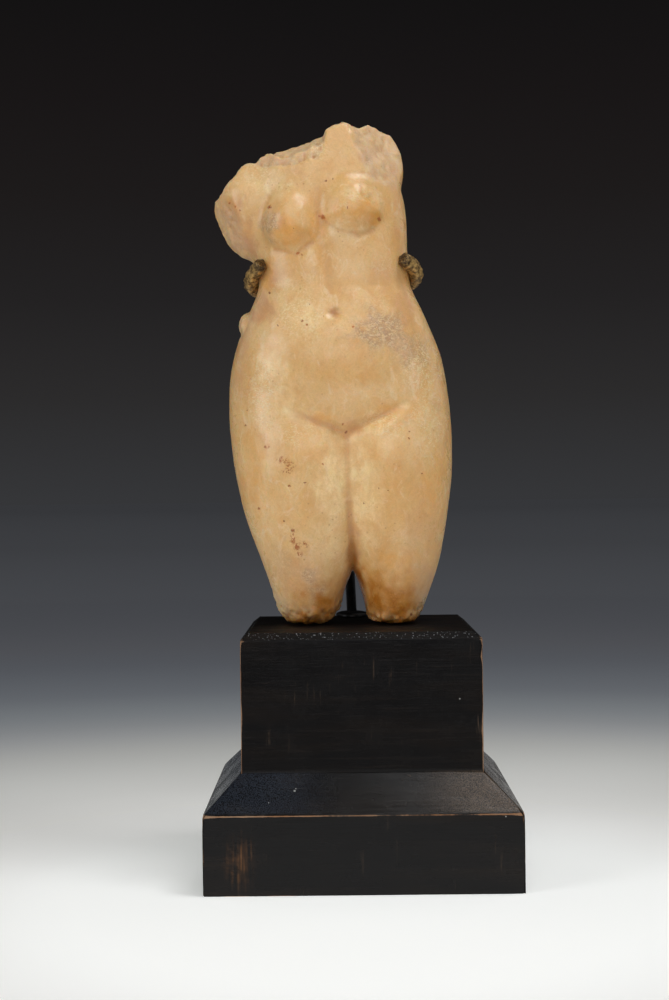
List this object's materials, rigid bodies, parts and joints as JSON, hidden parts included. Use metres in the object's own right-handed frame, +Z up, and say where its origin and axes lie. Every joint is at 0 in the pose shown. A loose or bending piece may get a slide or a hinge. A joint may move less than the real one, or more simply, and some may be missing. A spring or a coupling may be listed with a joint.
{
  "type": "female torso sculpture",
  "caption": "Broken alabaster carving of a nude female torso, held at the waist by a clawed metal cradle on a rod, on a stepped black wooden plinth.",
  "frame": {"origin": "centre of the plinth's underside", "axes": "+Z up, the figure faces -Y, +X is on the right of someone who looks at its front"},
  "size_m": [0.112, 0.112, 0.2811],
  "materials": {
    "alabaster": "worn and waxed honey alabaster with rust and grey stains",
    "ebonised_wood": "satin black over wood, rubbed brown along its edges",
    "blackened_steel": "satin black",
    "olive_bronze": "hammered and patinated olive brown"
  },
  "bodies": {
    "root": {"torso": "alabaster", "plinth_block": "ebonised_wood", "base_board_front": "ebonised_wood", "base_board_right": "ebonised_wood", "base_board_back": "ebonised_wood", "base_board_left": "ebonised_wood", "support_rod": "blackened_steel", "rod_foot": "blackened_steel", "waist_cradle": "olive_bronze"}
  },
  "joints": []
}
